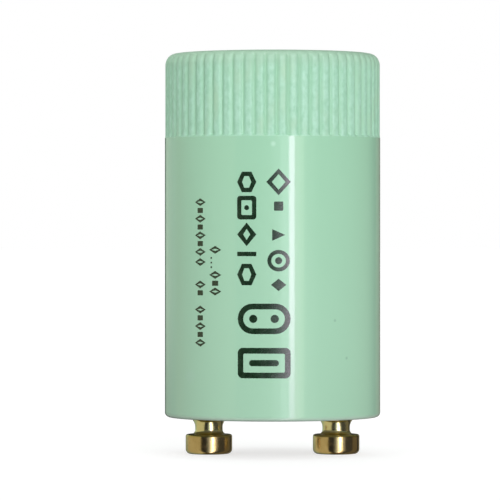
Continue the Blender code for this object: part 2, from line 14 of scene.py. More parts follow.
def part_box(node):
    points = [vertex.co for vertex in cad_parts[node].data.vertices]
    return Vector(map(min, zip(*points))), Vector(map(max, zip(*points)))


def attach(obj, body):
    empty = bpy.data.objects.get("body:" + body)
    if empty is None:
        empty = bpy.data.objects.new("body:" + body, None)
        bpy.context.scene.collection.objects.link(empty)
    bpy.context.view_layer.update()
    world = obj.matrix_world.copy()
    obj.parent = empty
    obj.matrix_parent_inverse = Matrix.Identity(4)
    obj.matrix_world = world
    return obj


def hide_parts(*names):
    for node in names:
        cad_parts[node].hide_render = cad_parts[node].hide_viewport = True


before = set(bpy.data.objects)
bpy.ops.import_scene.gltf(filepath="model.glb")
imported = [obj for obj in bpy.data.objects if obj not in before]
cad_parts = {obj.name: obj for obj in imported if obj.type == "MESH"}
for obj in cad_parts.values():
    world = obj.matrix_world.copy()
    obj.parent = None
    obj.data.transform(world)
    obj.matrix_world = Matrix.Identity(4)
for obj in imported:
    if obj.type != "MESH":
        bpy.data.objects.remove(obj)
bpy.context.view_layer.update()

MM = 0.001


def node_box(name):
    """Lowest and highest corner of a CAD node, in millimetres."""
    low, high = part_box(name)
    return Vector(low) / MM, Vector(high) / MM


CAN_BOX = node_box("canister")
PIN_BOX = node_box("contact_pin_right")

# Camera, as far from the can's axis as the photograph's perspective says
CAMERA_DISTANCE = 385.0
CAMERA_SIDE = -2.25
CAMERA_HEIGHT = 22.28
SENSOR_WIDTH = 36.0
FOCAL_LENGTH = 277.6
HORIZON_SHIFT = -0.039
CLIP_START = 10.0
CLIP_END = 20000.0

# Can, as in the CAD model, and a hair thinner so that the print on it stays in the model's box
PRINT_ROOM = 0.008
CAN_RADIUS = CAN_BOX[1].x - PRINT_ROOM
CAN_TOP = CAN_BOX[1].z
RIM_Z = CAN_BOX[0].z
SHOULDER_FILLET = 1.15
RIM_FILLET = 0.45
MOUTH_RADIUS = 9.95
MOUTH_CHAMFER = 0.12
BEAD_REACH = 0.14
BEAD_BOTTOM = RIM_Z + 0.85
BEAD_TOP = RIM_Z + 1.35
LEDGE_Z = RIM_Z + 2.0
INNER_RADIUS = 9.65
CEILING_Z = CAN_TOP - 1.2
CEILING_FILLET = 0.5
GATE_DISH_RADIUS = 1.3
GATE_DISH_DEPTH = 0.2
GATE_NUB_RADIUS = 0.45
GATE_NUB_HEIGHT = 0.12
EDGE_SOFTNESS = 0.05

# Keys in the can's mouth
KEY_COUNT = 4
KEY_WIDTH = 1.6
KEY_REACH = 0.5
KEY_ROOT = 0.4
KEY_BOTTOM = RIM_Z + 0.6
KEY_PHASE = 45.0

# Grip band
RIB_COUNT = 60
RIB_SAMPLES = 16
RIB_PHASE = 4.9
RIB_INSET = 0.04
RIB_DEPTH = 0.22
RIB_SHARPNESS = 2.8
BAND_Z = CAN_TOP - 8.42
RUN_OUT = 0.26
SHOULDER_Z = CAN_TOP - SHOULDER_FILLET
SHOULDER_RUN_OUT = 0.6 * SHOULDER_FILLET
SHOULDER_RIB_END = SHOULDER_Z + 0.95 * SHOULDER_FILLET
# Height from which painted shade darkens the top
TOP_SHADE_START = CAN_TOP - 1.6 * SHOULDER_FILLET

# Pins
PIN_X = (PIN_BOX[0].x + PIN_BOX[1].x) / 2
PIN_COLUMNS = 128
HEAD_RADIUS = (PIN_BOX[1].x - PIN_BOX[0].x) / 2
HEAD_TOP = 1.96
HEAD_FILLET = 0.5
HEAD_EDGE = 0.22
NECK_RADIUS = 1.37
NECK_TOP = 2.65
NECK_FLARE = 1.1
NECK_FILLET = 0.44
# Heights of the painted shade in the corner between a pin's head and neck, above which painted light
# pales the brass
CORNER_LOW = HEAD_TOP - HEAD_EDGE
CORNER_HIGH = HEAD_TOP + NECK_FILLET / 2
CORNER_FADE = 0.1
SEAT_CLEARANCE = 0.1
COLLAR_RADIUS = 1.79
COLLAR_TOP = RIM_Z + 0.5 - SEAT_CLEARANCE
SHANK_RADIUS = 1.3
RIVET_RADIUS = 2.0
RIVET_TOP = PIN_BOX[1].z
RIVET_BOTTOM = RIVET_TOP - 0.45
BORE_RADIUS = 0.8
BORE_CHAMFER = 0.15
BORE_END = RIVET_TOP - 4.2

# Print. A row's place is across the can, and its marks are placed by height, from the top one down.
INK_PROUD = 0.006
INK_ROOT = 0.02
WRAP_STEP = 0.2
WELD_DISTANCE = 1e-5
CUT_TOLERANCE = 1e-6
BOLD_STROKE = 0.43
MEDIUM_STROKE = 0.38
PICTOGRAM_STROKE = 0.56
SMALL_STROKE = 0.2
ROUNDING_PER_STROKE = 0.25
BOLD_ROW = -2.6
BOLD_HEIGHTS = (27.0, 24.5, 21.9, 20.0, 18.0)
MEDIUM_ROW = 0.53
MEDIUM_HEIGHTS = (27.0, 24.65, 21.85, 19.35, 17.0)
PICTOGRAM_ROW = -0.9
PICTOGRAM_HEIGHTS = (13.7, 9.4)
LEFT_ROW = -7.78
LEFT_GROUPS = ((25.05, 7), (19.2, 1), (17.0, 2), (14.55, 5))
INNER_ROW = -5.95
INNER_GROUPS = ((20.4, 1), (17.95, 3))
SMALL_PITCH = 0.81
DOT_ROW = INNER_ROW - 0.45
DOT_HEIGHTS = (19.6, 19.15, 18.7)

# Sides of the print's shapes
TRIANGLE = 3
DIAMOND = 4
HEXAGON = 6
SMALL_CIRCLE = 12
CIRCLE = 24

# Steps of fillets, and the angle from which an edge stays sharp
FINE_STEPS = 14
SMALL_STEPS = 6
GATE_STEPS = 3
SHARP_ANGLE = 34.0


def place_on_can(azimuth, height, radius=CAN_RADIUS):
    """Point on the can's side, in millimetres."""
    angle = math.radians(azimuth)
    return (radius * math.sin(angle), -radius * math.cos(angle), height)


def arc(centre, radius, start, end, steps):
    """Points of an arc, both ends included."""
    points = []
    for index in range(steps + 1):
        angle = math.radians(start + (end - start) * index / steps)
        points.append((centre[0] + radius * math.cos(angle), centre[1] + radius * math.sin(angle)))
    return points


def smooth_step(value):
    """Rises from 0 to 1 as the value does, level at both ends."""
    value = min(max(value, 0.0), 1.0)
    return value * value * (3.0 - 2.0 * value)


def new_object(name, mesh):
    """An object in the scene, shaded smooth up to its sharp edges."""
    mesh.shade_smooth()
    mesh.set_sharp_from_angle(angle=math.radians(SHARP_ANGLE))
    obj = bpy.data.objects.new(name, mesh)
    bpy.context.scene.collection.objects.link(obj)
    return obj


def turned(name, profile, columns, radius_at, centre=(0.0, 0.0)):
    """Closed turned form. The profile runs from the axis down the outside and back to the axis, and
    radius_at gives the radius at each height and angle.
    """
    vertices = [(centre[0], centre[1], profile[0][1])]
    for radius, height in profile[1:-1]:
        for column in range(columns):
            angle = math.tau * column / columns
            reach = radius_at(radius, height, angle)
            x = centre[0] + reach * math.cos(angle)
            y = centre[1] + reach * math.sin(angle)
            vertices.append((x, y, height))
    vertices.append((centre[0], centre[1], profile[-1][1]))
    last = len(vertices) - 1
    final_ring = last - columns
    faces = []
    for column in range(columns):
        following = (column + 1) % columns
        faces.append((0, 1 + column, 1 + following))
        faces.append((last, final_ring + following, final_ring + column))
        for ring in range(len(profile) - 3):
            upper = 1 + ring * columns
            lower = upper + columns
            faces.append((upper + column, lower + column, lower + following, upper + following))
    mesh = bpy.data.meshes.new(name)
    mesh.from_pydata([tuple(MM * value for value in vertex) for vertex in vertices], [], faces)
    mesh.update()
    return new_object(name, mesh)


def plain_radius(radius, height, angle):
    """Radius of a round form."""
    return radius


def ribbed_radius(radius, height, angle):
    """Radius of the can, which the grip ribs narrow from the band's lower end to the top of the
    shoulder. A place across a rib goes from -1 in one groove, by 0 on the crest, to 1 in the next.
    """
    if radius < INNER_RADIUS + EDGE_SOFTNESS or height < BAND_Z:
        return radius
    turn = math.degrees(angle) - RIB_PHASE
    across = 2.0 * (turn * RIB_COUNT / 360.0 + 0.5) % 2.0 - 1.0
    valley = (0.5 - 0.5 * math.cos(math.pi * across)) ** RIB_SHARPNESS
    depth = RIB_INSET + RIB_DEPTH * valley
    rise = smooth_step((height - BAND_Z) / RUN_OUT)
    fall = smooth_step((SHOULDER_RIB_END - height) / SHOULDER_RUN_OUT)
    return radius - depth * rise * fall


def can_profile():
    """Half section of the can, from the middle of the top, down outside and back up inside."""
    dish_z = CAN_TOP - GATE_DISH_DEPTH
    nub_z = dish_z + GATE_NUB_HEIGHT
    nub_centre = (GATE_NUB_RADIUS - EDGE_SOFTNESS, nub_z - EDGE_SOFTNESS)
    profile = [(0.0, nub_z)]
    profile += arc(nub_centre, EDGE_SOFTNESS, 90, 0, GATE_STEPS)
    profile += [(GATE_NUB_RADIUS, dish_z), (GATE_DISH_RADIUS, dish_z)]
    lip = GATE_DISH_RADIUS + GATE_DISH_DEPTH
    profile += [(lip - EDGE_SOFTNESS, CAN_TOP - EDGE_SOFTNESS), (lip + EDGE_SOFTNESS, CAN_TOP)]
    shoulder_radius = CAN_RADIUS - SHOULDER_FILLET
    profile += arc((shoulder_radius, SHOULDER_Z), SHOULDER_FILLET, 90, 0, FINE_STEPS)
    for step in range(SMALL_STEPS, -1, -1):
        profile.append((CAN_RADIUS, BAND_Z + RUN_OUT * step / SMALL_STEPS))
    profile += [(CAN_RADIUS, BAND_Z - EDGE_SOFTNESS)]
    profile += [(CAN_RADIUS, RIM_Z + RIM_FILLET + EDGE_SOFTNESS)]
    rim_centre = (CAN_RADIUS - RIM_FILLET, RIM_Z + RIM_FILLET)
    profile += arc(rim_centre, RIM_FILLET, 0, -90, SMALL_STEPS)
    profile += [(MOUTH_RADIUS + MOUTH_CHAMFER, RIM_Z), (MOUTH_RADIUS, RIM_Z + MOUTH_CHAMFER)]
    third = (BEAD_TOP - BEAD_BOTTOM) / 3
    profile += [(MOUTH_RADIUS, BEAD_BOTTOM), (MOUTH_RADIUS - BEAD_REACH, BEAD_BOTTOM + third)]
    profile += [(MOUTH_RADIUS - BEAD_REACH, BEAD_TOP - third), (MOUTH_RADIUS, BEAD_TOP)]
    profile += [(MOUTH_RADIUS, LEDGE_Z), (INNER_RADIUS, LEDGE_Z)]
    ceiling_centre = (INNER_RADIUS - CEILING_FILLET, CEILING_Z - CEILING_FILLET)
    profile += arc(ceiling_centre, CEILING_FILLET, 0, 90, SMALL_STEPS)
    return profile + [(0.0, CEILING_Z)]


def make_can():
    """The can with its grip ribs, in two finishes: satin on the band and the top, and glossy on
    everything else.
    """
    can = turned("can_shell", can_profile(), RIB_COUNT * RIB_SAMPLES, ribbed_radius)
    can.data.materials.append(glossy_can_finish())
    can.data.materials.append(satin_can_finish())
    add_keys(can)
    for face in can.data.polygons:
        within = face.center.xy.length < (INNER_RADIUS + EDGE_SOFTNESS) * MM
        inside = within and face.center.z < (CEILING_Z + EDGE_SOFTNESS) * MM
        if face.center.z > BAND_Z * MM and not inside:
            face.material_index = 1
    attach(can, "root")
    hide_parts("canister")


def add_keys(can):
    """Blocks in the can's mouth that keep the base plate from turning."""
    work = bmesh.new()
    work.from_mesh(can.data)
    inner = MOUTH_RADIUS - KEY_REACH
    outer = MOUTH_RADIUS + KEY_ROOT
    size = Vector((outer - inner, KEY_WIDTH, LEDGE_Z - KEY_BOTTOM)) * MM
    middle = Vector(((inner + outer) / 2, 0.0, (LEDGE_Z + KEY_BOTTOM) / 2)) * MM
    for index in range(KEY_COUNT):
        made = bmesh.ops.create_cube(work, size=1.0)["verts"]
        bmesh.ops.scale(work, vec=size, verts=made)
        bmesh.ops.translate(work, vec=middle, verts=made)
        turn = Matrix.Rotation(math.radians(KEY_PHASE) + math.tau * index / KEY_COUNT, 3, "Z")
        bmesh.ops.rotate(work, cent=(0.0, 0.0, 0.0), matrix=turn, verts=made)
    work.to_mesh(can.data)
    work.free()


def pin_profile():
    """Half section of a pin, from the bottom of its bore, up and over the riveted lip and down."""
    lip_radius = (RIVET_TOP - RIVET_BOTTOM) / 2
    lip_centre = (RIVET_RADIUS - lip_radius, RIVET_BOTTOM + lip_radius)
    flare_centre = (NECK_RADIUS + NECK_FLARE, NECK_TOP)
    flare = math.degrees(math.acos((flare_centre[0] - COLLAR_RADIUS) / NECK_FLARE))
    foot_of_neck = (NECK_RADIUS + NECK_FILLET, HEAD_TOP + NECK_FILLET)
    edge_centre = (HEAD_RADIUS - HEAD_EDGE, HEAD_TOP - HEAD_EDGE)
    foot_centre = (HEAD_RADIUS - HEAD_FILLET, HEAD_FILLET)
    profile = [(0.0, BORE_END), (BORE_RADIUS, BORE_END), (BORE_RADIUS, RIVET_TOP - BORE_CHAMFER)]
    profile += [(BORE_RADIUS + BORE_CHAMFER, RIVET_TOP)]
    profile += arc(lip_centre, lip_radius, 90, -90, SMALL_STEPS)
    profile += [(SHANK_RADIUS, RIVET_BOTTOM), (SHANK_RADIUS, COLLAR_TOP), (COLLAR_RADIUS, COLLAR_TOP)]
    profile += arc(flare_centre, NECK_FLARE, 180 - flare, 180, FINE_STEPS)
    profile += arc(foot_of_neck, NECK_FILLET, 180, 270, SMALL_STEPS)
    profile += arc(edge_centre, HEAD_EDGE, 90, 0, SMALL_STEPS)
    profile += arc(foot_centre, HEAD_FILLET, 0, -90, FINE_STEPS)
    return profile + [(0.0, 0.0)]


def make_pins():
    """The two turned brass pins."""
    finish = brass_finish()
    for side, x in (("left", -PIN_X), ("right", PIN_X)):
        pin = turned(f"brass_pin_{side}", pin_profile(), PIN_COLUMNS, plain_radius, (x, 0.0))
        pin.data.materials.append(finish)
        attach(pin, "root")
        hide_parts(f"contact_pin_{side}")


def polygon(centre, width, height, sides):
    """Regular polygon stretched to a width across the print and a height up the can."""
    points = []
    for index in range(sides):
        angle = math.tau * index / sides
        across = centre[0] + width / 2 * math.cos(angle)
        up = centre[1] + height / 2 * math.sin(angle)
        points.append((across, up))
    return points


def outlined(centre, width, height, sides, stroke):
    """The outer and inner outline of a polygon drawn with a stroke."""
    narrowing = 2 * stroke / math.cos(math.pi / sides)
    inner = polygon(centre, width - narrowing, height - narrowing, sides)
    return [polygon(centre, width, height, sides), inner]


def slab(centre, width, height, rounding):
    """Rectangle with rounded corners."""
    points = []
    for across, up, start in ((1, 1, 0), (-1, 1, 90), (-1, -1, 180), (1, -1, 270)):
        corner = (
            centre[0] + across * (width / 2 - rounding),
            centre[1] + up * (height / 2 - rounding),
        )
        points += arc(corner, rounding, start, start + 90, SMALL_STEPS)
    return points


def bordered(centre, width, height, rounding, stroke):
    """The outer and inner outline of a rounded rectangle drawn with a stroke."""
    inner_rounding = max(rounding - stroke, ROUNDING_PER_STROKE * stroke)
    inner = slab(centre, width - 2 * stroke, height - 2 * stroke, inner_rounding)
    return [slab(centre, width, height, rounding), inner]


def printed(name, outlines, finish):
    """Thin print of flat outlines, wrapped on the can's side."""
    curve = bpy.data.curves.new(name, "CURVE")
    curve.dimensions = "2D"
    curve.fill_mode = "BOTH"
    curve.extrude = (INK_PROUD + INK_ROOT) / 2
    for outline in outlines:
        spline = curve.splines.new("POLY")
        spline.points.add(len(outline) - 1)
        for point, (across, up) in zip(spline.points, outline):
            point.co = (across, up, 0.0, 1.0)
        spline.use_cyclic_u = True
    drawn = bpy.data.objects.new(name + "_outline", curve)
    bpy.context.scene.collection.objects.link(drawn)
    bpy.context.view_layer.update()
    mesh = bpy.data.meshes.new_from_object(drawn.evaluated_get(bpy.context.evaluated_depsgraph_get()))
    bpy.data.objects.remove(drawn, do_unlink=True)
    wrap(mesh)
    ink = new_object(name, mesh)
    mesh.materials.clear()
    mesh.materials.append(finish)
    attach(ink, "root")


def wrap(mesh):
    """Cut a flat mesh into narrow strips and bend it round the can."""
    work = bmesh.new()
    work.from_mesh(mesh)
    bmesh.ops.remove_doubles(work, verts=work.verts, dist=WELD_DISTANCE)
    low = min(vertex.co.x for vertex in work.verts)
    high = max(vertex.co.x for vertex in work.verts)
    across_can = (1.0, 0.0, 0.0)
    for cut in range(1, math.ceil((high - low) / WRAP_STEP)):
        whole = work.verts[:] + work.edges[:] + work.faces[:]
        line = (low + cut * WRAP_STEP, 0.0, 0.0)
        bmesh.ops.bisect_plane(work, geom=whole, plane_co=line, plane_no=across_can, dist=CUT_TOLERANCE)
    middle = (INK_PROUD - INK_ROOT) / 2
    for vertex in work.verts:
        across, up, out = vertex.co
        place = place_on_can(math.degrees(across / CAN_RADIUS), up, CAN_RADIUS + middle + out)
        vertex.co = Vector(place) * MM
    bmesh.ops.recalc_face_normals(work, faces=work.faces)
    work.to_mesh(mesh)
    work.free()


def make_print():
    """Generic marks where the real can is printed: plain shapes in rows that run down the can."""
    finish = ink_finish()
    printed("ink_bold_row", bold_row(), finish)
    printed("ink_medium_row", medium_row(), finish)
    printed("ink_pictograms", pictograms(), finish)
    printed("ink_small_rows", small_rows(), finish)


def bold_row():
    """Row of bold shapes: a hexagon, a square with a dot, a diamond, a bar and a taller hexagon."""
    width = 1.92
    height = 2.3
    last_height = 2.4
    square_rounding = 0.3
    dot_size = 0.5
    bar_rounding = 0.08
    hexagon, square, diamond, bar, last = ((BOLD_ROW, up) for up in BOLD_HEIGHTS)
    marks = outlined(hexagon, width, height, HEXAGON, BOLD_STROKE)
    marks += bordered(square, width, height, square_rounding, BOLD_STROKE)
    marks += [polygon(square, dot_size, dot_size, SMALL_CIRCLE)]
    marks += outlined(diamond, width, height, DIAMOND, BOLD_STROKE)
    marks += [slab(bar, width, BOLD_STROKE, bar_rounding)]
    marks += outlined(last, width, last_height, HEXAGON, BOLD_STROKE)
    return marks


def medium_row():
    """Row of lighter shapes: an outlined diamond, a solid square, a triangle pointing across, a ring
    with a dot and a solid diamond.
    """
    diamond_width = 2.4
    diamond_height = 2.6
    square_size = 0.9
    square_rounding = 0.1
    triangle_shift = 0.2
    triangle_width = 1.7
    triangle_height = 1.3
    ring_width = 2.2
    ring_height = 2.1
    dot_size = 0.7
    last_width = 1.5
    last_height = 1.2
    diamond, square, row_middle, ring, last = ((MEDIUM_ROW, up) for up in MEDIUM_HEIGHTS)
    triangle = (row_middle[0] - triangle_shift, row_middle[1])
    marks = outlined(diamond, diamond_width, diamond_height, DIAMOND, MEDIUM_STROKE)
    marks += [slab(square, square_size, square_size, square_rounding)]
    marks += [polygon(triangle, triangle_width, triangle_height, TRIANGLE)]
    marks += outlined(ring, ring_width, ring_height, CIRCLE, MEDIUM_STROKE)
    marks += [polygon(ring, dot_size, dot_size, SMALL_CIRCLE)]
    marks += [polygon(last, last_width, last_height, DIAMOND)]
    return marks


def pictograms():
    """Two large framed signs: a socket with two holes, and a tube lamp."""
    width = 5.2
    height = 2.96
    flat_end = 0.01
    hole_side = 1.05
    hole_size = 0.8
    lamp_rounding = 0.5
    tube_width = 2.9
    tube_height = 0.6
    tube_rounding = 0.28
    socket, lamp = ((PICTOGRAM_ROW, up) for up in PICTOGRAM_HEIGHTS)
    marks = bordered(socket, width, height, height / 2 - flat_end, PICTOGRAM_STROKE)
    for side in (-hole_side, hole_side):
        marks += [polygon((socket[0] + side, socket[1]), hole_size, hole_size, CIRCLE)]
    marks += bordered(lamp, width, height, lamp_rounding, PICTOGRAM_STROKE)
    marks += [slab(lamp, tube_width, tube_height, tube_rounding)]
    return marks


def small_rows():
    """Two rows of tiny outlined diamonds and solid blocks, in groups, with dots by the shorter row."""
    diamond_width = 1.4
    diamond_height = 0.78
    block_width = 0.7
    block_height = 0.5
    block_rounding = 0.06
    dot_size = 0.18
    dot_rounding = 0.05
    marks = []
    for across, groups in ((LEFT_ROW, LEFT_GROUPS), (INNER_ROW, INNER_GROUPS)):
        for up, count in groups:
            for index in range(count):
                centre = (across, up - index * SMALL_PITCH)
                if index % 2:
                    marks += [slab(centre, block_width, block_height, block_rounding)]
                else:
                    marks += outlined(centre, diamond_width, diamond_height, DIAMOND, SMALL_STROKE)
    for up in DOT_HEIGHTS:
        marks += [slab((DOT_ROW, up), dot_size, dot_size, dot_rounding)]
    return marks


# Noise of the finishes: its usual detail, and the ranges of it that colours and roughness follow
DETAIL = 2.0
EVEN = (1.0, 1.0, 1.0)
COLOUR_LOW = 0.35
COLOUR_HIGH = 0.65
ROUGH_LOW = 0.3
ROUGH_HIGH = 0.7


class Finish:
    """A Principled material whose colour, roughness and relief vary with noise in object space."""

    def __init__(self, name, colour, roughness, metallic=0.0):
        self.material = bpy.data.materials.new(name)
        self.material.use_nodes = True
        self.nodes = self.material.node_tree.nodes
        self.links = self.material.node_tree.links
        self.shader = self.nodes["Principled BSDF"]
        self.shader.inputs["Roughness"].default_value = roughness
        self.shader.inputs["Metallic"].default_value = metallic
        self.place = self.nodes.new("ShaderNodeTexCoord").outputs["Object"]
        self.colour = colour
        self.normal = None

    def noise(self, grain, detail, stretch):
        """Noise whose grain is a size in millimetres, drawn out along an axis by a stretch."""
        mapping = self.nodes.new("ShaderNodeMapping")
        mapping.inputs["Scale"].default_value = [1.0 / (grain * MM * share) for share in stretch]
        self.links.new(self.place, mapping.inputs["Vector"])
        noise = self.nodes.new("ShaderNodeTexNoise")
        noise.inputs["Scale"].default_value = 1.0
        noise.inputs["Detail"].default_value = detail
        self.links.new(mapping.outputs["Vector"], noise.inputs["Vector"])
        return noise.outputs["Fac"]

    def ranged(self, value, low, high, start=0.0, end=1.0):
        """A value moved from one range to another, and held inside it."""
        node = self.nodes.new("ShaderNodeMapRange")
        self.links.new(value, node.inputs["Value"])
        for name, number in (("From Min", low), ("From Max", high), ("To Min", start), ("To Max", end)):
            node.inputs[name].default_value = number
        return node.outputs["Result"]

    def climb(self, start, end):
        """Share that goes from 0 to 1 between two heights, up or down."""
        height = self.nodes.new("ShaderNodeSeparateXYZ")
        self.links.new(self.place, height.inputs[0])
        if start < end:
            return self.ranged(height.outputs["Z"], start * MM, end * MM)
        return self.ranged(height.outputs["Z"], end * MM, start * MM, start=1.0, end=0.0)

    def calculate(self, operation, *operands):
        """Result of a sum on sockets and numbers."""
        node = self.nodes.new("ShaderNodeMath")
        node.operation = operation
        for socket, operand in zip(node.inputs, operands):
            if isinstance(operand, bpy.types.NodeSocket):
                self.links.new(operand, socket)
            else:
                socket.default_value = operand
        return node.outputs[0]

    def blend(self, share, first, second):
        """Colour between two others. Each is a colour or a socket."""
        node = self.nodes.new("ShaderNodeMix")
        node.data_type = "RGBA"
        self.links.new(share, node.inputs["Factor"])
        for name, colour in (("A", first), ("B", second)):
            socket = next(s for s in node.inputs if s.name == name and s.type == "RGBA")
            if isinstance(colour, tuple):
                socket.default_value = (*colour, 1.0)
            else:
                self.links.new(colour, socket)
        return next(s for s in node.outputs if s.type == "RGBA")

    def tint(self, share, colour):
        """Blend another colour in by a share."""
        self.colour = self.blend(share, self.colour, colour)
        self.links.new(self.colour, self.shader.inputs["Base Color"])

    def mottle(self, colour, grain, detail=DETAIL, stretch=EVEN, low=COLOUR_LOW, high=COLOUR_HIGH):
        """Patches of another colour in what is there so far."""
        self.tint(self.ranged(self.noise(grain, detail, stretch), low, high), colour)

    def speck(self, azimuth, height, size, colour, strength):
        """Small spot of another colour on the can, which fades from a third of its size outwards."""
        distance = self.nodes.new("ShaderNodeVectorMath")
        distance.operation = "DISTANCE"
        self.links.new(self.place, distance.inputs[0])
        distance.inputs[1].default_value = Vector(place_on_can(azimuth, height)) * MM
        reach = size * MM
        share = self.ranged(distance.outputs["Value"], reach / 3, reach, start=strength, end=0.0)
        self.tint(share, colour)

    def paint_groove_shade(self, colour, width):
        """Painted shade: darker lines up the grooves between the grip ribs, as far as the shoulder. The
        width is a share of the ribs' pitch, on either side of a groove's middle.
        """
        turn = self.nodes.new("ShaderNodeTexGradient")
        turn.gradient_type = "RADIAL"
        self.links.new(self.place, turn.inputs["Vector"])
        pitch = 360.0 / RIB_COUNT
        count = self.calculate("MULTIPLY_ADD", turn.outputs["Fac"], RIB_COUNT, 0.5 - RIB_PHASE / pitch)
        distance = self.calculate("PINGPONG", count, 0.5)
        groove = self.ranged(distance, 0.0, width, start=1.0, end=0.0)
        below_top = self.climb(SHOULDER_RIB_END, SHOULDER_RIB_END - SHOULDER_RUN_OUT)
        self.tint(self.calculate("MULTIPLY", groove, below_top), colour)

    def roughen(self, low, high, grain, detail=DETAIL, stretch=EVEN):
        """Roughness that wanders between two values."""
        rough = self.ranged(self.noise(grain, detail, stretch), ROUGH_LOW, ROUGH_HIGH, low, high)
        self.links.new(rough, self.shader.inputs["Roughness"])

    def relief(self, height, grain, detail=DETAIL, stretch=EVEN):
        """Fine relief of a height in millimetres, on top of any that is there."""
        noise = self.noise(grain, detail, stretch)
        bump = self.nodes.new("ShaderNodeBump")
        bump.inputs["Strength"].default_value = 1.0
        bump.inputs["Distance"].default_value = height * MM
        self.links.new(noise, bump.inputs["Height"])
        if self.normal:
            self.links.new(self.normal, bump.inputs["Normal"])
        self.normal = bump.outputs["Normal"]
        self.links.new(self.normal, self.shader.inputs["Normal"])

    def set(self, **values):
        """Set the shader's own sockets."""
        for name, value in values.items():
            self.shader.inputs[name.replace("_", " ")].default_value = value


def glossy_can_finish():
    """Polished moulded plastic of the can's body, with a few specks. Painted light makes it lighter
    towards the bottom, and paler still on the rim's fillet, where shade falls.
    """
    painted_lower_light = (0.403, 0.668, 0.490)
    rim = (0.72, 0.90, 0.78)
    pale_speck = (0.52, 0.78, 0.62)
    dark_speck = (0.24, 0.42, 0.30)
    smudge = (0.42, 0.66, 0.52)
    finish = Finish("can_gloss", (0.357, 0.644, 0.450), roughness=0.3)
    finish.mottle((0.367, 0.652, 0.460), grain=6.0, detail=1.0, stretch=(1.0, 1.0, 2.0))
    # Painted light: the body gets lighter from the band down to the rim.
    finish.tint(finish.climb(BAND_Z, RIM_Z), painted_lower_light)
    # Painted light: the rim's fillet is paler, where shade falls on it.
    finish.tint(finish.climb(RIM_Z + RIM_FILLET, RIM_Z), rim)
    finish.speck(azimuth=0.0, height=30.7, size=0.32, colour=pale_speck, strength=0.7)
    finish.speck(azimuth=34.2, height=13.5, size=0.2, colour=dark_speck, strength=0.5)
    finish.speck(azimuth=42.1, height=9.8, size=0.2, colour=dark_speck, strength=0.5)
    finish.speck(azimuth=-49.0, height=8.0, size=0.9, colour=smudge, strength=0.4)
    finish.roughen(low=0.28, high=0.34, grain=2.5)
    finish.relief(height=0.002, grain=4.0, detail=1.0)
    finish.set(Specular_IOR_Level=0.1, Coat_Weight=1.0, Coat_Roughness=0.08)
    return finish.material


def satin_can_finish():
    """Satin, slightly mottled plastic of the grip band and the top, with painted shade in the grooves
    and on the top.
    """
    frosting = (0.415, 0.700, 0.540)
    patch = (0.385, 0.635, 0.450)
    groove = (0.350, 0.622, 0.440)
    top = (0.360, 0.570, 0.415)
    finish = Finish("can_satin", (0.330, 0.615, 0.440), roughness=0.5)
    finish.mottle(frosting, grain=0.4, detail=4.0, stretch=(1.0, 1.0, 1.5))
    finish.mottle(patch, grain=2.0, stretch=(1.0, 1.0, 2.0), low=0.52, high=0.75)
    # Painted shade in the grooves between the ribs.
    finish.paint_groove_shade(groove, width=0.3)
    # Painted shade: the top is darker and greyer.
    finish.tint(finish.climb(TOP_SHADE_START, CAN_TOP), top)
    finish.roughen(low=0.40, high=0.56, grain=0.6, detail=3.0)
    finish.relief(height=0.012, grain=0.35, detail=3.0, stretch=(1.0, 1.0, 1.8))
    return finish.material


def brass_finish():
    """Polished turned brass with faint tool rings and a little tarnish. Painted light makes it paler
    from the neck up, and painted shade makes it darker in the corner between the head and the neck.
    """
    tarnish = (0.41, 0.29, 0.12)
    pale = (0.88, 0.82, 0.46)
    dark = (0.55, 0.45, 0.155)
    finish = Finish("turned_brass", (0.73, 0.57, 0.29), roughness=0.16, metallic=1.0)
    finish.mottle((0.65, 0.49, 0.23), grain=1.2, detail=3.0)
    finish.mottle(tarnish, grain=0.5, detail=4.0, stretch=(1.0, 1.0, 0.7), low=0.62, high=0.85)
    above_head = finish.climb(CORNER_LOW - CORNER_FADE, CORNER_LOW + CORNER_FADE)
    below_neck = finish.climb(CORNER_HIGH + CORNER_FADE, CORNER_HIGH - CORNER_FADE)
    # Painted light: the brass is paler from the neck up.
    finish.tint(finish.climb(CORNER_HIGH - CORNER_FADE, CORNER_HIGH + CORNER_FADE), pale)
    # Painted shade: the brass is darker in the corner between the head and the neck.
    finish.tint(finish.calculate("MULTIPLY", above_head, below_neck), dark)
    finish.roughen(low=0.12, high=0.24, grain=0.6, detail=3.0)
    finish.relief(height=0.004, grain=0.05, detail=1.0, stretch=(60.0, 60.0, 1.0))
    finish.relief(height=0.004, grain=0.5)
    return finish.material


def ink_finish():
    """Thin dark print."""
    finish = Finish("print_ink", (0.004, 0.022, 0.008), roughness=0.25)
    finish.mottle((0.010, 0.038, 0.016), grain=0.45, detail=3.0)
    finish.roughen(low=0.2, high=0.32, grain=0.5)
    finish.relief(height=0.001, grain=0.3)
    finish.set(Specular_IOR_Level=0.9)
    return finish.material


def base_plastic_finish():
    """Natural moulded plastic of the base plate."""
    finish = Finish("base_plastic", (0.70, 0.70, 0.62), roughness=0.45)
    finish.mottle((0.76, 0.75, 0.67), grain=1.5, detail=4.0)
    finish.roughen(low=0.38, high=0.52, grain=0.8, detail=3.0)
    finish.relief(height=0.006, grain=0.4, detail=3.0)
    return finish.material


def glass_finish():
    """Thin clear glass with faint draw lines."""
    finish = Finish("bulb_glass", (0.90, 0.95, 0.93), roughness=0.03)
    finish.mottle((0.84, 0.91, 0.89), grain=3.0)
    finish.roughen(low=0.02, high=0.06, grain=2.0)
    finish.relief(height=0.01, grain=1.5, detail=1.0, stretch=(1.0, 1.0, 4.0))
    finish.set(Transmission_Weight=1.0, IOR=1.5)
    return finish.material


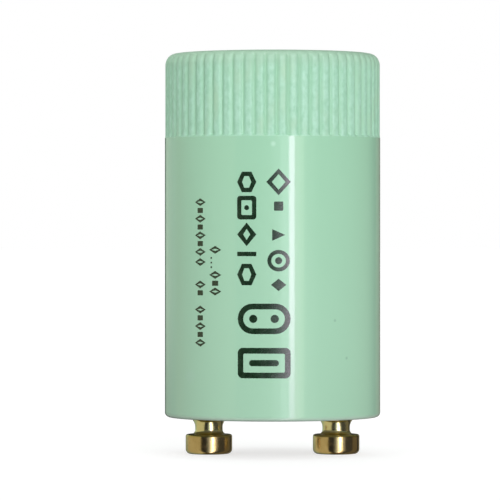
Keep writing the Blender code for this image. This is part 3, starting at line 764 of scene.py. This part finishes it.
def metal_finish(name, bright, dull, roughness, grain, stretch):
    """Metal with drawn or rolled marks, and larger dull patches."""
    dull_grain = 3 * grain
    smoothest = 0.8 * roughness
    roughest = 1.3 * roughness
    finish = Finish(name, bright, roughness, metallic=1.0)
    finish.mottle(dull, dull_grain, detail=3.0, stretch=stretch)
    finish.roughen(smoothest, roughest, grain, detail=3.0, stretch=stretch)
    finish.relief(height=0.002, grain=grain, stretch=stretch)
    return finish.material


def film_finish():
    """Amber wrap of the capacitor, with the turns' edges showing as faint bands."""
    finish = Finish("capacitor_film", (0.66, 0.44, 0.10), roughness=0.35)
    finish.mottle((0.58, 0.36, 0.07), grain=1.8, detail=3.0, stretch=(1.0, 1.0, 0.4))
    finish.roughen(low=0.25, high=0.42, grain=1.0)
    finish.relief(height=0.006, grain=0.8, stretch=(1.0, 1.0, 0.3))
    return finish.material


def resin_finish():
    """Poured resin with small dimples."""
    finish = Finish("end_resin", (0.10, 0.040, 0.016), roughness=0.3)
    finish.mottle((0.15, 0.065, 0.028), grain=0.9, detail=4.0)
    finish.roughen(low=0.2, high=0.4, grain=0.5, detail=3.0)
    finish.relief(height=0.02, grain=0.6)
    return finish.material


def sleeve_finish():
    """Off-white extruded sleeve."""
    finish = Finish("sleeve_plastic", (0.74, 0.74, 0.70), roughness=0.5)
    finish.mottle((0.68, 0.69, 0.64), grain=1.2, detail=3.0, stretch=(1.0, 1.0, 4.0))
    finish.roughen(low=0.42, high=0.58, grain=0.6)
    finish.relief(height=0.004, grain=0.3, stretch=(1.0, 1.0, 5.0))
    return finish.material


def wire_finish():
    """Tinned wire of the leads."""
    bright = (0.62, 0.60, 0.56)
    dull = (0.50, 0.49, 0.46)
    return metal_finish("lead_wire", bright, dull, roughness=0.28, grain=0.12, stretch=(1.0, 1.0, 6.0))


def electrode_finish():
    """Drawn wire of the electrode and the post."""
    bright = (0.46, 0.45, 0.42)
    dull = (0.36, 0.35, 0.33)
    stretch = (1.0, 1.0, 6.0)
    return metal_finish("electrode_metal", bright, dull, roughness=0.34, grain=0.15, stretch=stretch)


def bimetal_finish():
    """Rolled bimetal strip."""
    bright = (0.42, 0.37, 0.31)
    dull = (0.30, 0.27, 0.23)
    return metal_finish("bimetal", bright, dull, roughness=0.30, grain=0.2, stretch=(6.0, 1.0, 1.0))


def foil_finish():
    """Wound foil of the capacitor."""
    bright = (0.56, 0.56, 0.55)
    dull = (0.44, 0.44, 0.44)
    return metal_finish("wound_foil", bright, dull, roughness=0.40, grain=0.2, stretch=(1.0, 1.0, 8.0))


def finish_inner_pieces():
    """Give every CAD node that stays its own finish."""
    wire = wire_finish()
    electrode = electrode_finish()
    bimetal = bimetal_finish()
    foil = foil_finish()
    resin = resin_finish()
    finishes = {
        "base_plate": base_plastic_finish(),
        "bulb_envelope": glass_finish(),
        "fixed_electrode": electrode,
        "bimetal_post": electrode,
        "bimetal_strip": bimetal,
        "bulb_lead_left": wire,
        "bulb_lead_right": wire,
        "capacitor_winding": foil,
        "capacitor_wrap": film_finish(),
        "capacitor_end_fill_upper": resin,
        "capacitor_end_fill_lower": resin,
        "capacitor_lead_upper": wire,
        "capacitor_lead_lower": wire,
        "lead_sleeve": sleeve_finish(),
    }
    for name, finish in finishes.items():
        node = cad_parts[name]
        node.data.materials.clear()
        node.data.materials.append(finish)


# Floor, studio panels and lamps
WHITE = (1.0, 1.0, 1.0)
FLOOR_SIZE = 4000.0
FLOOR_BOUNCE = 0.8
FLOOR_SHADE = 0.45
FLOOR_GLOW = 0.66
MAT_PLACE = (-65.0, -18.0, 0.0)
MAT_RADIUS = 48.0
MAT_SHADE = 0.1
PANEL_DISTANCE = 500.0
PANEL_REACH = 1500.0
PANEL_STEP = 6
FADE_BOTTOM = -16.0
FADE_TOP = 5.0
AMBIENT = 0.6
SUN_ELEVATION = 12.0
SUN_SPREAD = 50.0


def floor_material():
    """White to the camera, less the object's shadow. To the object it is pale, with a dark mat at the
    left that takes light off the can's lower left.
    """
    material = bpy.data.materials.new("floor")
    material.use_nodes = True
    nodes = material.node_tree.nodes
    links = material.node_tree.links
    nodes.clear()
    rays = nodes.new("ShaderNodeLightPath")
    plain = nodes.new("ShaderNodeBsdfDiffuse")
    nearness = nodes.new("ShaderNodeVectorMath")
    nearness.operation = "DISTANCE"
    links.new(nodes.new("ShaderNodeTexCoord").outputs["Object"], nearness.inputs[0])
    nearness.inputs[1].default_value = Vector(MAT_PLACE) * MM
    shade = nodes.new("ShaderNodeMapRange")
    links.new(nearness.outputs["Value"], shade.inputs["Value"])
    shade.inputs["From Min"].default_value = MAT_RADIUS * MM
    shade.inputs["From Max"].default_value = 2 * MAT_RADIUS * MM
    shade.inputs["To Min"].default_value = MAT_SHADE
    shade.inputs["To Max"].default_value = FLOOR_BOUNCE
    links.new(shade.outputs["Result"], plain.inputs["Color"])
    shaded = nodes.new("ShaderNodeBsdfDiffuse")
    shaded.inputs["Color"].default_value = (FLOOR_SHADE, FLOOR_SHADE, FLOOR_SHADE, 1.0)
    glow = nodes.new("ShaderNodeEmission")
    glow.inputs["Strength"].default_value = FLOOR_GLOW
    seen = nodes.new("ShaderNodeAddShader")
    links.new(shaded.outputs[0], seen.inputs[0])
    links.new(glow.outputs[0], seen.inputs[1])
    choice = nodes.new("ShaderNodeMixShader")
    links.new(rays.outputs["Is Camera Ray"], choice.inputs[0])
    links.new(plain.outputs[0], choice.inputs[1])
    links.new(seen.outputs[0], choice.inputs[2])
    output = nodes.new("ShaderNodeOutputMaterial")
    links.new(choice.outputs[0], output.inputs["Surface"])
    return material


def make_floor():
    """Plain floor under the pins, which doesn't show in gloss."""
    mesh = bpy.data.meshes.new("floor")
    work = bmesh.new()
    bmesh.ops.create_grid(work, x_segments=1, y_segments=1, size=FLOOR_SIZE * MM)
    work.to_mesh(mesh)
    work.free()
    floor = bpy.data.objects.new("floor", mesh)
    bpy.context.scene.collection.objects.link(floor)
    mesh.materials.append(floor_material())
    floor.visible_glossy = False


def make_world():
    """White to the camera and in gloss and glass, and a plain soft light on everything else."""
    world = bpy.data.worlds.new("studio")
    bpy.context.scene.world = world
    world.use_nodes = True
    nodes = world.node_tree.nodes
    links = world.node_tree.links
    rays = nodes.new("ShaderNodeLightPath")
    seen = rays.outputs["Is Camera Ray"]
    for name in ("Is Glossy Ray", "Is Transmission Ray"):
        either = nodes.new("ShaderNodeMath")
        either.operation = "MAXIMUM"
        links.new(seen, either.inputs[0])
        links.new(rays.outputs[name], either.inputs[1])
        seen = either.outputs[0]
    level = nodes.new("ShaderNodeMapRange")
    level.inputs["To Min"].default_value = AMBIENT
    level.inputs["To Max"].default_value = 1.0
    links.new(seen, level.inputs["Value"])
    background = nodes["Background"]
    background.inputs["Color"].default_value = (*WHITE, 1.0)
    links.new(level.outputs["Result"], background.inputs["Strength"])


def make_panel(name, start, end, level, colour=WHITE, foot=None):
    """Studio panel that stands round the object between two azimuths. Where a foot is given, its lower
    part glows at the foot's level.
    """
    steps = max(2, math.ceil((end - start) / PANEL_STEP))
    vertices = []
    for index in range(steps + 1):
        azimuth = start + (end - start) * index / steps
        for height in (-PANEL_REACH, PANEL_REACH):
            vertices.append(Vector(place_on_can(azimuth, height, PANEL_DISTANCE)) * MM)
    faces = [(2 * i, 2 * i + 1, 2 * i + 3, 2 * i + 2) for i in range(steps)]
    hang_panel(name, vertices, faces, level, colour, foot)


def make_lid(name, height, level, colour=WHITE):
    """Round panel that closes the ring of panels above or below the object."""
    azimuths = range(0, 360, PANEL_STEP)
    vertices = [Vector(place_on_can(azimuth, height, PANEL_DISTANCE)) * MM for azimuth in azimuths]
    hang_panel(name, vertices, [tuple(range(len(vertices)))], level, colour)


def hang_panel(name, vertices, faces, level, colour, foot=None):
    """Glowing surface that shows only in gloss."""
    mesh = bpy.data.meshes.new(name)
    mesh.from_pydata(vertices, [], faces)
    material = bpy.data.materials.new(name)
    material.use_nodes = True
    nodes = material.node_tree.nodes
    links = material.node_tree.links
    nodes.clear()
    glow = nodes.new("ShaderNodeEmission")
    glow.inputs["Color"].default_value = (*colour, 1.0)
    glow.inputs["Strength"].default_value = level
    if foot:
        height = nodes.new("ShaderNodeSeparateXYZ")
        links.new(nodes.new("ShaderNodeTexCoord").outputs["Object"], height.inputs[0])
        fade = nodes.new("ShaderNodeMapRange")
        links.new(height.outputs["Z"], fade.inputs["Value"])
        fade.inputs["From Min"].default_value = FADE_BOTTOM * MM
        fade.inputs["From Max"].default_value = FADE_TOP * MM
        fade.inputs["To Min"].default_value = foot
        fade.inputs["To Max"].default_value = level
        links.new(fade.outputs["Result"], glow.inputs["Strength"])
    output = nodes.new("ShaderNodeOutputMaterial")
    links.new(glow.outputs[0], output.inputs["Surface"])
    mesh.materials.append(material)
    panel = bpy.data.objects.new(name, mesh)
    bpy.context.scene.collection.objects.link(panel)
    panel.visible_camera = False
    panel.visible_diffuse = False
    panel.visible_transmission = False
    panel.visible_shadow = False


def make_panels():
    """Soft strip light with dimmer wings, dark flags beside it and grey panels all round."""
    cool = (0.88, 0.97, 1.0)
    make_panel("flag_left", -40.0, -10.0, level=0.03)
    make_panel("front_dim", -10.0, 0.0, level=0.2, colour=(0.9, 1.0, 1.0))
    make_panel("front_bright", 0.0, 8.0, level=0.7, colour=cool)
    make_panel("strip_wing_left", 8.0, 17.0, level=2.0, colour=cool)
    make_panel("strip_core", 17.0, 22.7, level=9.8, colour=(1.0, 0.74, 1.0), foot=4.6)
    make_panel("strip_wing_warm", 22.7, 27.5, level=2.6, colour=(1.0, 0.76, 0.8))
    make_panel("strip_wing_right", 27.5, 33.0, level=1.8, colour=(1.0, 1.0, 0.82))
    make_panel("strip_edge", 33.0, 45.0, level=0.3)
    make_panel("flag_right", 45.0, 88.0, level=0.06)
    make_panel("side_right", 88.0, 126.0, level=0.15, colour=(1.0, 0.88, 0.65))
    make_panel("flag_rear_right", 126.0, 145.0, level=0.03)
    make_panel("rear_right", 145.0, 167.0, level=0.24, colour=(1.0, 0.97, 0.8))
    make_panel("flag_rear", 167.0, 199.0, level=0.02)
    make_panel("rear_left", 199.0, 235.0, level=0.65, colour=(0.84, 1.0, 0.8), foot=0.4)
    make_panel("left_grey", -125.0, -40.0, level=0.52, colour=(1.0, 0.92, 0.64))
    make_lid("ceiling", PANEL_REACH, level=0.25)
    make_lid("underside", -PANEL_REACH, level=0.12, colour=(1.0, 0.8, 0.5))


def make_sun(name, azimuth, strength):
    """Soft distant light, low above the horizon."""
    lamp = bpy.data.lights.new(name, "SUN")
    lamp.energy = strength
    lamp.angle = math.radians(SUN_SPREAD)
    sun = bpy.data.objects.new(name, lamp)
    bpy.context.scene.collection.objects.link(sun)
    elevation = math.radians(SUN_ELEVATION)
    level = math.cos(elevation)
    x, y, _ = place_on_can(azimuth, 0.0, 1.0)
    towards = Vector((x * level, y * level, math.sin(elevation)))
    sun.rotation_mode = "QUATERNION"
    sun.rotation_quaternion = towards.to_track_quat("Z", "Y")
    sun.visible_glossy = False


def make_camera():
    """Camera of the photograph: level, with a long lens, and about as high as the can's middle."""
    data = bpy.data.cameras.new("camera")
    data.sensor_width = SENSOR_WIDTH
    data.lens = FOCAL_LENGTH
    data.shift_y = HORIZON_SHIFT
    data.clip_start = CLIP_START * MM
    data.clip_end = CLIP_END * MM
    camera = bpy.data.objects.new("camera", data)
    camera.location = Vector((CAMERA_SIDE, -CAMERA_DISTANCE, CAMERA_HEIGHT)) * MM
    camera.rotation_euler = (math.radians(90), 0.0, 0.0)
    bpy.context.scene.collection.objects.link(camera)
    bpy.context.scene.camera = camera


bpy.context.scene.view_settings.view_transform = "Standard"
make_camera()
make_world()
make_floor()
make_panels()
make_sun("key", azimuth=16.5, strength=1.78)
make_sun("left_fill", azimuth=-45.0, strength=0.72)
make_sun("back_fill", azimuth=190.0, strength=1.35)
make_can()
make_pins()
make_print()
finish_inner_pieces()
